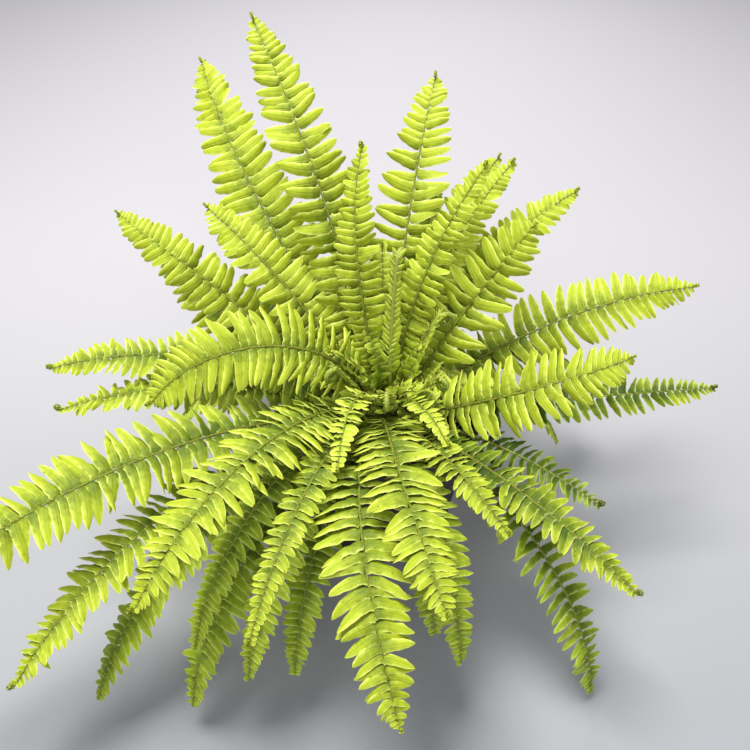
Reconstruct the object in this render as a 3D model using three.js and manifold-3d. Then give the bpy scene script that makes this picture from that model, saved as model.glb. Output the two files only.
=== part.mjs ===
// Potted fern: a sword fern in a plastic nursery pot. The pot, its soil, the fern's crown, each frond
// and each young crozier is a solid of its own.
// Millimetres, +Z up, origin at the middle of the pot's foot. +Y points to the back of the plant.
import * as THREE from "three";
import { mergeVertices } from "three/addons/utils/BufferGeometryUtils.js";
import Module from "manifold-3d";

const wasm = await Module();
wasm.setup();

// Pot
const potHeight = 112;
const footRadius = 45; // outside, on the floor
const shoulderRadius = 58; // outside, just under the collar
const potWall = 1.8;
const collarHeight = 14;
const collarStep = 2.2; // how far the collar stands out from the wall
const collarFlare = 1.5; // how much wider the collar is at its top than at its foot
const footRingWidth = 5;
const footRingHeight = 3;
const centrePadRadius = 12; // flat pad in the middle, level with the foot ring
const floorThickness = 2.2;
const drainHoles = 8;
const drainHoleRadius = 4.5;
const drainCircleRadius = 30;
const drillLength = 20;
const drillSides = 12;
const potSides = 40;

// Soil and crown
const fitGap = 0.3; // between pieces that touch
const soilDrop = 11; // from the pot's rim down to the soil
const soilFall = 2.5; // how much lower the soil is at the wall than at the crown
const crownRadius = 28;
const crownHeight = 15;
const domeSteps = 6;
const innerSeat = 0.3; // where upright stalks stand, as a share of the crown's radius
const outerSeat = 0.9; // and where level ones do

// Fronds
const stalkRadius = 1;
const ribRise = 0.8; // how far the rib stands above the blade's edges
const ribDrop = 0.5; // and below them
const bareShare = 0.1; // the share of a frond that is bare stalk
const bladeBaseShare = 0.3; // the blade's width where it starts, as a share of its full width
const widestAt = 0.35; // where along the blade it is widest
const taperPower = 0.5; // the lower, the fuller the blade towards its tip
const tipHalfWidth = 2;
const frondSteps = 16;
const layingGap = 0.4; // kept around a frond while it is laid among the others

// Croziers
const crozierRadius = 1.3;
const crozierTaper = 0.55; // the coil's end against its stalk
const coilTurns = 1.4;
const coilHeart = 1.8; // radius of the coil where it ends
const coilSteps = 16;
const stalkSteps = 5;
const stalkCurl = 14; // how far the stalk has bent over where the coil starts, in degrees

// The fronds, in the order in which they are laid among each other. Each row is: bearing, launch, sag,
// swing, roll, length, half. Bearing is the way the frond leaves the crown, counted from +X towards
// +Y; launch is its climb at the crown and sag how far it has bent down at its tip; swing is its bend
// to the left; roll turns the blade about its rib; all in degrees. Half is half of its full width;
// it and the length are in millimetres.
const frondRows = {
  arching: [
    [197, 80, 130, 0, -38, 168, 27],
    [235, 54, 94, 0, 0, 212, 24],
    [256, 45, 100, 36, 0, 216, 26],
    [268, 54, 88, 24, 0, 180, 23],
    [140, 53, 45, -36, -25, 280, 26],
    [122, 72, 45, -6, -15, 250, 24],
    [77, 74, 50, 0, 0, 208, 25],
    [12, 68, 40, 34, 45, 136, 26],
    [328, 38, 28, 52, 35, 142, 25],
    [213, 31, 54, 6, -20, 290, 25],
  ],
  young: [
    [246, 60, 100, 20, 0, 112, 11],
    [200, 88, 60, 0, 0, 62, 8],
    [345, 62, 90, 0, 0, 76, 9],
    [300, 76, 110, 0, 0, 72, 9],
    [92, 88, 50, 0, 0, 96, 10],
  ],
  upright: [
    [116, 86, 45, 0, 0, 112, 14],
    [134, 78, 50, -60, -15, 158, 15],
    [146, 66, 56, -24, -30, 164, 20],
    [163, 40, 38, -30, -30, 212, 20],
    [37, 65, 60, 0, 25, 178, 18],
    [46, 78, 55, 0, 20, 165, 15],
    [60, 66, 60, 0, 20, 180, 18],
    [52, 84, 50, 0, 15, 156, 14],
    [70, 88, 45, 0, 0, 136, 12],
  ],
  spreading: [
    [174, 34, 28, -54, -25, 180, 18],
    [192, 38, 52, -4, 0, 182, 18],
    [184, 42, 58, 0, -20, 192, 18],
    [218, 30, 62, 12, 0, 250, 22],
    [250, 50, 94, 0, 0, 190, 12],
    [311, 27, 53, 14, 0, 174, 18],
    [325, 20, 42, 4, 0, 126, 16],
    [352, 14, 20, 20, 25, 188, 17],
    [14, 37, 46, 6, 35, 204, 24],
    [298, 36, 75, 20, 0, 118, 13],
  ],
  hanging: [
    [224, 22, 88, 0, 0, 244, 20],
    [232, 24, 98, 0, 0, 218, 19],
    [239, 28, 102, 0, 0, 188, 15],
    [246, 24, 96, 6, 0, 170, 15],
    [230, 36, 112, 0, 0, 198, 14],
    [280, 36, 96, 0, 0, 150, 16],
    [286, 30, 108, 0, 0, 168, 15],
    [311, 26, 98, 0, 0, 221, 20],
    [60, 38, 104, 0, 0, 195, 22],
    [85, 42, 106, 0, 0, 200, 22],
    [110, 38, 104, 0, 0, 195, 22],
    [134, 40, 106, 0, 0, 195, 22],
    [350, 18, 98, 0, 0, 126, 17],
    [172, 26, 104, 0, 0, 180, 20],
    [26, 30, 100, 0, 0, 176, 20],
  ],
};

// The croziers. Each row is: bearing, launch, height, coil. Bearing is the way it leans and launch
// its climb at the crown, in degrees; height is its stalk up to the coil and coil the coil's outer
// radius, in millimetres.
const crozierRows = [
  [75, 78, 92, 6],
  [20, 74, 60, 5.5],
  [130, 76, 66, 5.5],
  [215, 68, 48, 5],
  [262, 64, 58, 5],
  [320, 66, 44, 4.5],
];

const rad = THREE.MathUtils.degToRad;
const materials = {
  pot: new THREE.MeshStandardMaterial({ color: 0x1d1d1f, roughness: 0.55, metalness: 0 }),
  soil: new THREE.MeshStandardMaterial({ color: 0x35261a, roughness: 1, metalness: 0 }),
  crown: new THREE.MeshStandardMaterial({ color: 0x5a4526, roughness: 0.95, metalness: 0 }),
  arching: new THREE.MeshStandardMaterial({ color: 0xa8c832, roughness: 0.5, metalness: 0 }),
  young: new THREE.MeshStandardMaterial({ color: 0xd2e468, roughness: 0.5, metalness: 0 }),
  upright: new THREE.MeshStandardMaterial({ color: 0xb4cf3c, roughness: 0.5, metalness: 0 }),
  spreading: new THREE.MeshStandardMaterial({ color: 0x93b82c, roughness: 0.5, metalness: 0 }),
  hanging: new THREE.MeshStandardMaterial({ color: 0x6f9a22, roughness: 0.5, metalness: 0 }),
  crozier: new THREE.MeshStandardMaterial({ color: 0xa9b060, roughness: 0.6, metalness: 0 }),
};

const plant = new THREE.Group();

function addPiece(name, geometry, material) {
  const piece = new THREE.Mesh(geometry, material);
  piece.name = name;
  plant.add(piece);
  return piece;
}

// A closed mesh as a solid that can be joined and cut, with its own placing applied.
function solidOf(mesh) {
  mesh.updateMatrix();
  const bare = mesh.geometry.clone().applyMatrix4(mesh.matrix);
  bare.deleteAttribute("normal");
  bare.deleteAttribute("uv");
  const merged = mergeVertices(bare, 1e-4);
  return new wasm.Manifold(
    new wasm.Mesh({
      numProp: 3,
      vertProperties: merged.attributes.position.array,
      triVerts: new Uint32Array(merged.index.array),
    }),
  );
}

function geometryOf(solid) {
  const mesh = solid.getMesh();
  return new THREE.BufferGeometry()
    .setAttribute("position", new THREE.BufferAttribute(mesh.vertProperties, 3))
    .setIndex(new THREE.BufferAttribute(mesh.triVerts, 1));
}

// A profile of [radius, height] points turned about Z.
function turned(profile) {
  const points = profile.map(([radius, height]) => new THREE.Vector2(radius, height));
  return new THREE.LatheGeometry(points, potSides).rotateX(Math.PI / 2);
}

const potFloorTop = footRingHeight + floorThickness;
const shoulderHeight = potHeight - collarHeight;
const wallSlope = (shoulderRadius - footRadius) / shoulderHeight;

// The wall's inside radius at a height between the pot's floor and its rim.
const insideRadius = (height) => footRadius + wallSlope * height - potWall;

function pot() {
  const collarFoot = shoulderRadius + collarStep;
  const shell = turned([
    [0, 0],
    [centrePadRadius, 0],
    [centrePadRadius, footRingHeight],
    [footRadius - footRingWidth, footRingHeight],
    [footRadius - footRingWidth, 0],
    [footRadius, 0],
    [shoulderRadius, shoulderHeight],
    [collarFoot, shoulderHeight],
    [collarFoot + collarFlare, potHeight],
    [collarFoot + collarFlare - potWall, potHeight],
    [collarFoot - potWall, shoulderHeight + potWall],
    [insideRadius(shoulderHeight + potWall), shoulderHeight + potWall],
    [insideRadius(potFloorTop), potFloorTop],
    [0, potFloorTop],
  ]);
  let solid = solidOf(new THREE.Mesh(shell));
  const drill = new THREE.CylinderGeometry(drainHoleRadius, drainHoleRadius, drillLength, drillSides);
  for (let i = 0; i < drainHoles; i++) {
    const turn = (i * 2 * Math.PI) / drainHoles;
    const hole = new THREE.Mesh(drill);
    hole.rotation.x = Math.PI / 2;
    hole.position.set(drainCircleRadius * Math.cos(turn), drainCircleRadius * Math.sin(turn), 0);
    solid = solid.subtract(solidOf(hole));
  }
  return geometryOf(solid);
}

const soilTop = potHeight - soilDrop;
const crownFoot = soilTop + fitGap;

function soil() {
  const edgeHeight = soilTop - soilFall;
  const bedRadius = crownRadius + fitGap; // flat under the crown
  return turned([
    [0, potFloorTop + fitGap],
    [insideRadius(potFloorTop) - fitGap, potFloorTop + fitGap],
    [insideRadius(edgeHeight) - fitGap, edgeHeight],
    [bedRadius, soilTop],
    [0, soilTop],
  ]);
}

// Height of the crown's dome over its foot, at a distance from its middle.
const domeHeight = (distance) => crownHeight * Math.sqrt(Math.max(0, 1 - (distance / crownRadius) ** 2));

function crown() {
  const profile = [[0, crownFoot]];
  for (let i = 0; i < domeSteps; i++) {
    const turn = (i / domeSteps) * (Math.PI / 2);
    profile.push([crownRadius * Math.cos(turn), crownFoot + crownHeight * Math.sin(turn)]);
  }
  profile.push([0, crownFoot + crownHeight]);
  return turned(profile);
}

// Where a stalk stands on the crown: steep ones near its middle, low ones near its edge. Its middle
// is clear of the dome by the stalk's own radius and the gaps around it.
function seat(bearing, launch, stalk) {
  const levelness = Math.abs(Math.cos(rad(launch)));
  const distance = crownRadius * THREE.MathUtils.lerp(innerSeat, outerSeat, levelness);
  const height = domeHeight(distance);
  const outward = new THREE.Vector3(distance / crownRadius ** 2, 0, height / crownHeight ** 2);
  const point = new THREE.Vector3(distance, 0, crownFoot + height);
  point.addScaledVector(outward.normalize(), stalk + layingGap + fitGap);
  return point.applyAxisAngle(new THREE.Vector3(0, 0, 1), rad(bearing));
}

// The blade's half width at a share of the frond's length.
function halfWidthAt(share, frond) {
  if (share < bareShare) return stalkRadius;
  const along = (share - bareShare) / (1 - bareShare);
  const full =
    along < widestAt
      ? bladeBaseShare + (1 - bladeBaseShare) * Math.sin((along / widestAt) * (Math.PI / 2))
      : Math.cos(((along - widestAt) / (1 - widestAt)) * (Math.PI / 2)) ** taperPower;
  return Math.max(tipHalfWidth, frond.half * full);
}

// A closed bar whose rings are set one by one. Each ring has its middle, its side and up
// directions, and its half width, rise and drop.
function bentBar(rings, sides) {
  const last = rings.length - 1;
  const bar = new THREE.CylinderGeometry(1, 1, 1, sides, last);
  const position = bar.attributes.position;
  const point = new THREE.Vector3();
  for (let i = 0; i < position.count; i++) {
    const ring = rings[Math.round((0.5 - position.getY(i)) * last)];
    const over = position.getZ(i);
    point.copy(ring.middle);
    point.addScaledVector(ring.side, position.getX(i) * ring.half);
    point.addScaledVector(ring.up, over * (over > 0 ? ring.rise : ring.drop));
    position.setXYZ(i, point.x, point.y, point.z);
  }
  return bar;
}

// The directions of a stalk that climbs and turns by these angles, in radians.
function directions(climb, turn, roll = 0) {
  const along = new THREE.Vector3(
    Math.cos(climb) * Math.cos(turn),
    Math.cos(climb) * Math.sin(turn),
    Math.sin(climb),
  );
  const side = new THREE.Vector3(-Math.sin(turn), Math.cos(turn), 0).applyAxisAngle(along, roll);
  return { along, side, up: new THREE.Vector3().crossVectors(along, side) };
}

// A frond in its own frame: it starts at the origin and leaves along +X. Swell makes it thicker
// all round.
function frondGeometry(frond, swell = 0) {
  const rings = [];
  const middle = new THREE.Vector3();
  const heading = (share) =>
    directions(rad(frond.launch - frond.sag * share), rad(frond.swing * share), rad(frond.roll));
  for (let i = 0; i <= frondSteps; i++) {
    const share = i / frondSteps;
    rings.push({
      ...heading(share),
      middle: middle.clone(),
      half: halfWidthAt(share, frond) + swell,
      rise: ribRise + swell,
      drop: ribDrop + swell,
    });
    middle.addScaledVector(heading(share + 0.5 / frondSteps).along, frond.length / frondSteps);
  }
  return bentBar(rings, 4);
}

// A crozier in its own frame: a stalk that climbs from the origin, leaning towards +X, and ends in
// a coil.
function crozierGeometry(crozier, swell = 0) {
  const rings = [];
  const middle = new THREE.Vector3();
  let climb = rad(crozier.launch);
  const addRing = (radius) => {
    const half = radius + swell;
    rings.push({ ...directions(climb, 0), middle: middle.clone(), half, rise: half, drop: half });
  };
  const advance = (length, bend) => {
    middle.addScaledVector(directions(climb - bend / 2, 0).along, length);
    climb -= bend;
  };
  addRing(crozierRadius);
  for (let i = 0; i < stalkSteps; i++) {
    advance(crozier.height / stalkSteps, rad(stalkCurl) / stalkSteps);
    addRing(crozierRadius);
  }
  const bend = (coilTurns * 2 * Math.PI) / coilSteps;
  for (let i = 1; i <= coilSteps; i++) {
    const share = i / coilSteps;
    const radius = THREE.MathUtils.lerp(crozier.coil, coilHeart, share);
    advance(radius * bend, bend);
    addRing(crozierRadius * THREE.MathUtils.lerp(1, crozierTaper, share));
  }
  return bentBar(rings, 6);
}

// Turns and lifts to try, in degrees, the smallest first.
const nudgeStep = 3;
const nudges = [];
for (let lift = -24; lift <= 60; lift += nudgeStep) {
  for (let turn = -60; turn <= 60; turn += nudgeStep) nudges.push({ lift, turn });
}
nudges.sort((a, b) => Math.hypot(a.lift, a.turn) - Math.hypot(b.lift, b.turn));

const laid = [];

// Lays a frond or crozier among the pieces that are there. It keeps its own direction if that is
// clear of them, and otherwise takes the smallest turn and lift that is.
function layAmong(name, shape, stalk, growth, material) {
  const grown = (turn, lift, swell) => {
    const leaning = { ...growth, bearing: growth.bearing + turn, launch: growth.launch + lift };
    const piece = new THREE.Mesh(shape(leaning, swell), material);
    piece.position.copy(seat(leaning.bearing, leaning.launch, stalk));
    piece.rotation.z = rad(leaning.bearing);
    return piece;
  };
  const isClear = ({ turn, lift }) => {
    const probe = solidOf(grown(turn, lift, layingGap));
    return laid.every((other) => other.intersect(probe).volume() === 0);
  };
  const nudge = nudges.find(isClear);
  if (!nudge) throw new Error(name + " has no room among the others");
  const piece = grown(nudge.turn, nudge.lift, 0);
  laid.push(solidOf(piece));
  piece.name = name;
  plant.add(piece);
}

const numbered = (name, i) => name + "_" + String(i + 1).padStart(2, "0");

laid.push(solidOf(addPiece("pot", pot(), materials.pot)));
laid.push(solidOf(addPiece("soil", soil(), materials.soil)));
laid.push(solidOf(addPiece("crown", crown(), materials.crown)));
for (const [habit, rows] of Object.entries(frondRows)) {
  rows.forEach(([bearing, launch, sag, swing, roll, length, half], i) => {
    const frond = { bearing, launch, sag, swing, roll, length, half };
    layAmong(numbered("frond_" + habit, i), frondGeometry, stalkRadius, frond, materials[habit]);
  });
}
crozierRows.forEach(([bearing, launch, height, coil], i) => {
  const crozier = { bearing, launch, height, coil };
  layAmong(numbered("crozier", i), crozierGeometry, crozierRadius, crozier, materials.crozier);
});

export default plant;
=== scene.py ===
import math

import bpy
import numpy as np
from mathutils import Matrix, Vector, noise


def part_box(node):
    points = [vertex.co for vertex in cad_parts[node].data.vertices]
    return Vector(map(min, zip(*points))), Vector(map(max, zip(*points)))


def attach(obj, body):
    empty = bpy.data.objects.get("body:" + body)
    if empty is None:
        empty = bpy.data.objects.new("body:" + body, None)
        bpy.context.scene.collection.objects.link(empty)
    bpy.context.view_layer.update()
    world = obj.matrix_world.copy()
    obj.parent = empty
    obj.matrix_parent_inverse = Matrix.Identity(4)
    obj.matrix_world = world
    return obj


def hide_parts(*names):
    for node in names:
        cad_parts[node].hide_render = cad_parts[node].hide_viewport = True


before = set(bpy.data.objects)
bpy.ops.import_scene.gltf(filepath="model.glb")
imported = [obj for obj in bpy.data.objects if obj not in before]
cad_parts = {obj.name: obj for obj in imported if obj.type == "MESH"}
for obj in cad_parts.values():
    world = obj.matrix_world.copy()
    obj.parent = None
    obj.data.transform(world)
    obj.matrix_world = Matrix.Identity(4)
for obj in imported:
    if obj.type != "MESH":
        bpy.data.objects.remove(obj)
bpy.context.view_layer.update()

mm = 0.001
white = (1, 1, 1, 1)


class Wire:
    # one output of a material's nodes; arithmetic on it adds Math nodes
    def __init__(self, paint, socket):
        self.paint = paint
        self.socket = socket

    def maths(self, operation, first, second=0.0):
        return self.paint.node("Math", {"operation": operation}, {0: first, 1: second})

    def __add__(self, other):
        return self.maths("ADD", self, other)

    def __sub__(self, other):
        return self.maths("SUBTRACT", self, other)

    def __rsub__(self, other):
        return self.maths("SUBTRACT", other, self)

    def __mul__(self, other):
        return self.maths("MULTIPLY", self, other)

    def __abs__(self):
        return self.maths("ABSOLUTE", self)

    __radd__ = __add__
    __rmul__ = __mul__

    def sine(self):
        return self.maths("SINE", self)


class Paint:
    # one material and the nodes that colour it
    def __init__(self, name):
        self.material = bpy.data.materials.new(name)
        self.material.use_nodes = True
        self.tree = self.material.node_tree
        self.tree.nodes.clear()

    def node(self, kind, settings=None, inputs=None, output=0):
        made = self.tree.nodes.new("ShaderNode" + kind)
        for name, value in (settings or {}).items():
            setattr(made, name, value)
        for name, value in (inputs or {}).items():
            if isinstance(value, Wire):
                self.tree.links.new(value.socket, made.inputs[name])
            else:
                made.inputs[name].default_value = value
        return Wire(self, made.outputs[output]) if len(made.outputs) else None

    def mix(self, share, first, second, blend="MIX"):
        settings = {"data_type": "RGBA", "blend_type": blend}
        return self.node("Mix", settings, {0: share, 6: first, 7: second}, 2)

    def span(self, value, low, high):  # 0 below low, 1 above high, smooth between
        settings = {"interpolation_type": "SMOOTHSTEP"}
        return self.node("MapRange", settings, {0: value, 1: low, 2: high})

    def noted(self, name):  # what the mesh notes of each point
        return self.node("Attribute", {"attribute_name": name}, output="Fac")

    def place(self):
        return self.node("TexCoord", output="Object")

    def noise(self, scale, detail=3.0, roughness=0.5):
        inputs = {"Vector": self.place(), "Scale": scale, "Detail": detail, "Roughness": roughness}
        return self.node("TexNoise", None, inputs)

    def cells(self, scale):
        inputs = {"Vector": self.place(), "Scale": scale}
        return self.node("TexVoronoi", {"feature": "F1"}, inputs)

    def bump(self, height, strength, distance):
        inputs = {"Height": height, "Strength": strength, "Distance": distance}
        return self.node("Bump", None, inputs)

    def finish(self, inputs):
        surface = self.node("BsdfPrincipled", None, inputs)
        self.node("OutputMaterial", None, {"Surface": surface})
        return self.material


def tint(colour):
    return (*colour, 1)


class Shape:
    # gathers points, faces and notes on each point, and makes one piece of them
    def __init__(self, noteNames=()):
        self.points = []
        self.faces = []
        self.kinds = []
        self.count = 0
        self.notes = {name: [] for name in noteNames}

    def add(self, points, faces, kind=0, **notes):
        points = np.asarray(points, float).reshape(-1, 3)
        for group in faces:
            group = np.asarray(group, int)
            if len(group):
                self.faces.append(group + self.count)
                self.kinds.append(np.full(len(group), kind))
        for name, values in self.notes.items():
            note = np.asarray(notes.get(name, 0.0), float).reshape(-1)
            values.append(np.broadcast_to(note, len(points)))
        self.points.append(points)
        self.count += len(points)

    def piece(self, name, materials, sharpNote=None):
        mesh = bpy.data.meshes.new(name)
        points = np.concatenate(self.points)
        mesh.vertices.add(len(points))
        mesh.vertices.foreach_set("co", points.ravel())
        corners = np.concatenate([group.ravel() for group in self.faces])
        sizes = np.concatenate([np.full(len(group), group.shape[1]) for group in self.faces])
        mesh.loops.add(len(corners))
        mesh.loops.foreach_set("vertex_index", corners)
        mesh.polygons.add(len(sizes))
        mesh.polygons.foreach_set("loop_start", np.concatenate([[0], np.cumsum(sizes)[:-1]]))
        mesh.polygons.foreach_set("material_index", np.concatenate(self.kinds))
        mesh.polygons.foreach_set("use_smooth", np.ones(len(sizes), bool))
        mesh.update(calc_edges=True)
        for note, values in self.notes.items():
            attribute = mesh.attributes.new(note, "FLOAT", "POINT")
            attribute.data.foreach_set("value", np.concatenate(values).astype(np.float32))
        if sharpNote:
            onEdge = np.concatenate(self.notes[sharpNote]) > 0.5
            ends = np.empty(len(mesh.edges) * 2, int)
            mesh.edges.foreach_get("vertices", ends)
            sharp = onEdge[ends.reshape(-1, 2)].all(axis=1)
            attribute = mesh.attributes.new("sharp_edge", "BOOLEAN", "EDGE")
            attribute.data.foreach_set("value", sharp)
        for material in materials:
            mesh.materials.append(material)
        made = bpy.data.objects.new(name, mesh)
        bpy.context.scene.collection.objects.link(made)
        return made


def unit(vectors):
    return vectors / np.maximum(np.linalg.norm(vectors, axis=-1, keepdims=True), 1e-12)


def smoothAt(rows, shares):
    # a smooth curve through rows that are evenly spaced, read at shares of its length
    last = len(rows) - 1
    place = np.clip(shares, 0, 1) * last
    i = np.minimum(place.astype(int), last - 1)
    f = (place - i)[:, None]
    before, here = rows[np.maximum(i - 1, 0)], rows[i]
    there, after = rows[i + 1], rows[np.minimum(i + 2, last)]
    return 0.5 * (
        2 * here
        + (there - before) * f
        + (2 * before - 5 * here + 4 * there - after) * f**2
        + (3 * here - before - 3 * there + after) * f**3
    )


def tube(middles, ups, radii, sides):
    # a closed tube with pointed-in ends; its points and its quads and triangles
    alongs = unit(np.gradient(middles, axis=0))
    across = unit(np.cross(ups, alongs))
    ups = np.cross(alongs, across)
    turn = np.arange(sides) * 2 * math.pi / sides
    ring = np.cos(turn)[None, :, None] * across[:, None] + np.sin(turn)[None, :, None] * ups[:, None]
    rings = middles[:, None] + ring * radii[:, None, None]
    count = len(middles)
    points = np.concatenate([rings.reshape(-1, 3), middles[:1], middles[-1:]])
    j = np.arange(sides)
    k = np.arange(count - 1)[:, None] * sides
    following = (j + 1) % sides
    quads = np.stack([k + j, k + following, k + sides + following, k + sides + j], axis=-1)
    first, last = count * sides, count * sides + 1
    end = (count - 1) * sides
    caps = np.concatenate([
        np.stack([np.full(sides, first), following, j], axis=-1),
        np.stack([np.full(sides, last), end + j, end + following], axis=-1),
    ])
    return points, [quads.reshape(-1, 4), caps]


def flakes(roots, aims, faceUps, lengths, widths):
    # thin closed scales: each has a three-cornered root and a tip
    sides = unit(np.cross(faceUps, aims)) * widths[:, None] / 2
    thick = unit(faceUps) * widths[:, None] * 0.25
    tips = roots + aims * lengths[:, None]
    points = np.stack([roots + sides, roots - sides, roots + thick, tips], axis=1)
    base = np.arange(len(roots))[:, None, None] * 4
    corners = np.array([[0, 2, 1], [0, 1, 3], [1, 2, 3], [2, 0, 3]])
    return points, [(base + corners).reshape(-1, 3)]


grainPoints = np.array([
    (0, 0, 1), (0.89, 0, 0.45), (0.28, 0.85, 0.45), (-0.72, 0.53, 0.45), (-0.72, -0.53, 0.45),
    (0.28, -0.85, 0.45), (0.72, 0.53, -0.45), (-0.28, 0.85, -0.45), (-0.89, 0, -0.45),
    (-0.28, -0.85, -0.45), (0.72, -0.53, -0.45), (0, 0, -1),
])
grainFaces = np.array([
    (0, 1, 2), (0, 2, 3), (0, 3, 4), (0, 4, 5), (0, 5, 1),
    (1, 6, 2), (2, 7, 3), (3, 8, 4), (4, 9, 5), (5, 10, 1),
    (2, 6, 7), (3, 7, 8), (4, 8, 9), (5, 9, 10), (1, 10, 6),
    (11, 7, 6), (11, 8, 7), (11, 9, 8), (11, 10, 9), (11, 6, 10),
])


def grains(middles, sizes, dice):
    # lumps with twelve uneven corners, each stretched its own way
    count = len(middles)
    stretch = sizes[:, None] * dice.uniform(0.6, 1.3, (count, 3))
    corners = grainPoints[None] * dice.uniform(0.75, 1.2, (count, 12, 1))
    turn = dice.uniform(0, 2 * math.pi, count)
    c, s = np.cos(turn)[:, None], np.sin(turn)[:, None]
    x, y, z = (corners * stretch[:, None]).transpose(2, 0, 1)
    points = np.stack([x * c - y * s, x * s + y * c, z], axis=-1) + middles[:, None]
    base = np.arange(count)[:, None, None] * 12
    return points, [(base + grainFaces).reshape(-1, 3)]


def wobble(points, scale, seed):
    # smooth noise from -1 to 1 at each point
    return np.array([noise.noise(Vector(point) * scale + Vector((seed, 0, 0))) for point in points])


def weldedShape(name):
    # a node's corners, each once, and the corners that each one is joined to
    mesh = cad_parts[name].data
    points = np.empty(len(mesh.vertices) * 3)
    mesh.vertices.foreach_get("co", points)
    corners, same = np.unique(np.round(points.reshape(-1, 3), 6), axis=0, return_inverse=True)
    same = same.reshape(-1)
    links = [set() for _ in corners]
    for edge in mesh.edges:
        a, b = same[edge.vertices[0]], same[edge.vertices[1]]
        if a != b:
            links[a].add(b)
            links[b].add(a)
    return corners, links


def ringsOf(name, start):
    # the rings of a bent bar, from the end that is nearer to start. Either end has one corner in its
    # middle, and each corner round that one is joined to five: it, two beside and two further on
    corners, links = weldedShape(name)
    ends = [i for i in range(len(corners)) if all(len(links[j]) == 5 for j in links[i])]
    ends.sort(key=lambda i: np.linalg.norm(corners[i] - start))
    seen = {ends[0], ends[-1]}
    level = set(links[ends[0]])
    rings = []
    while level:
        rings.append(corners[sorted(level)])
        seen |= level
        level = {j for i in level for j in links[i]} - seen
    return rings


crownLow, crownHigh = (np.array(corner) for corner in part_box("crown"))
crownMiddle = (crownLow + crownHigh) / 2
crownFoot = np.array([crownMiddle[0], crownMiddle[1], crownLow[2]])
crownRadius = (crownHigh[0] - crownLow[0]) / 2
crownHeight = crownHigh[2] - crownLow[2]
floorClearance = 0.5 * mm


camera = {
    "distance": 0.51,  # from the crown
    "elevation": 43,
    "lens": 37.7,
    "sensor": 36,
    "shiftX": -0.0133,
    "shiftY": 0.0333,
    "aimShare": 0.91,  # how high on the crown it aims
}
studio = {
    "floorSize": 8,
    # the floor's paint is darker near the camera and lighter far off: a painted light falloff
    "floorNearPaintedShade": (0.35, 0.365, 0.39),
    "floorFarPaintedLight": (0.55, 0.54, 0.57),
    "floorPaintedLightShift": (-0.30, 0.45),  # where the painted light falloff turns from the darker near floor to the lighter far floor, along Y
    "worldColour": (0.93, 0.95, 1.0),
    "worldStrength": 0.23,
    "key": {"place": (-0.25, 0.10, 1.6), "size": 0.7, "power": 31, "colour": (1.0, 0.985, 0.95)},
    "fill": {"place": (0.1, -1.3, 1.0), "size": 1.0, "power": 9.5, "colour": (0.97, 0.98, 1.0)},
    "back": {
        "place": (0.05, 1.2, 1.0), "size": 0.5, "power": 6, "colour": (1.0, 0.98, 1.0),
        "aim": (0.05, 1.1, 0),
    },
}


def addCamera():
    aim = Vector(crownFoot) + Vector((0, 0, crownHeight * camera["aimShare"]))
    rise = math.radians(camera["elevation"])
    away = Vector((0, -math.cos(rise), math.sin(rise)))
    data = bpy.data.cameras.new("camera")
    data.sensor_width = camera["sensor"]
    data.lens = camera["lens"]
    data.shift_x = camera["shiftX"]
    data.shift_y = camera["shiftY"]
    made = bpy.data.objects.new("camera", data)
    made.location = aim + away * camera["distance"]
    made.rotation_euler = (-away).to_track_quat("-Z", "Y").to_euler()
    bpy.context.scene.collection.objects.link(made)
    bpy.context.scene.camera = made


def addLamp(name, look):
    data = bpy.data.lights.new(name, "AREA")
    data.shape = "DISK"
    data.size = look["size"]
    data.energy = look["power"]
    data.color = look["colour"]
    made = bpy.data.objects.new(name, data)
    made.location = look["place"]
    toAim = Vector(look.get("aim", crownMiddle)) - made.location
    made.rotation_euler = toAim.to_track_quat("-Z", "Y").to_euler()
    bpy.context.scene.collection.objects.link(made)


def addFloor():
    half = studio["floorSize"] / 2
    shape = Shape()
    corners = [(-half, -half, 0), (half, -half, 0), (half, half, 0), (-half, half, 0)]
    shape.add(corners, [[(0, 1, 2, 3)]])
    paint = Paint("floor_paint")
    patchy = paint.noise(3.0, 2.0)
    depth = paint.node("SeparateXYZ", None, {"Vector": paint.place()}, output="Y")
    # painted light: the floor is painted darker near the camera and lighter far off
    share = paint.span(depth + patchy * 0.04, *studio["floorPaintedLightShift"])
    inputs = {
        "Base Color": paint.mix(share, tint(studio["floorNearPaintedShade"]), tint(studio["floorFarPaintedLight"])),
        "Roughness": 0.9,
        "Specular IOR Level": 0.2,
    }
    floor = shape.piece("floor", [paint.finish(inputs)])


def addWorld():
    world = bpy.data.worlds.new("studio")
    world.use_nodes = True
    background = world.node_tree.nodes["Background"]
    background.inputs["Color"].default_value = tint(studio["worldColour"])
    background.inputs["Strength"].default_value = studio["worldStrength"]
    bpy.context.scene.world = world


addCamera()
for lamp in ("key", "fill", "back"):
    addLamp(lamp, studio[lamp])
addFloor()
addWorld()
bpy.context.scene.view_settings.view_transform = "Standard"
print("camera, lights and floor are set")


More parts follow.
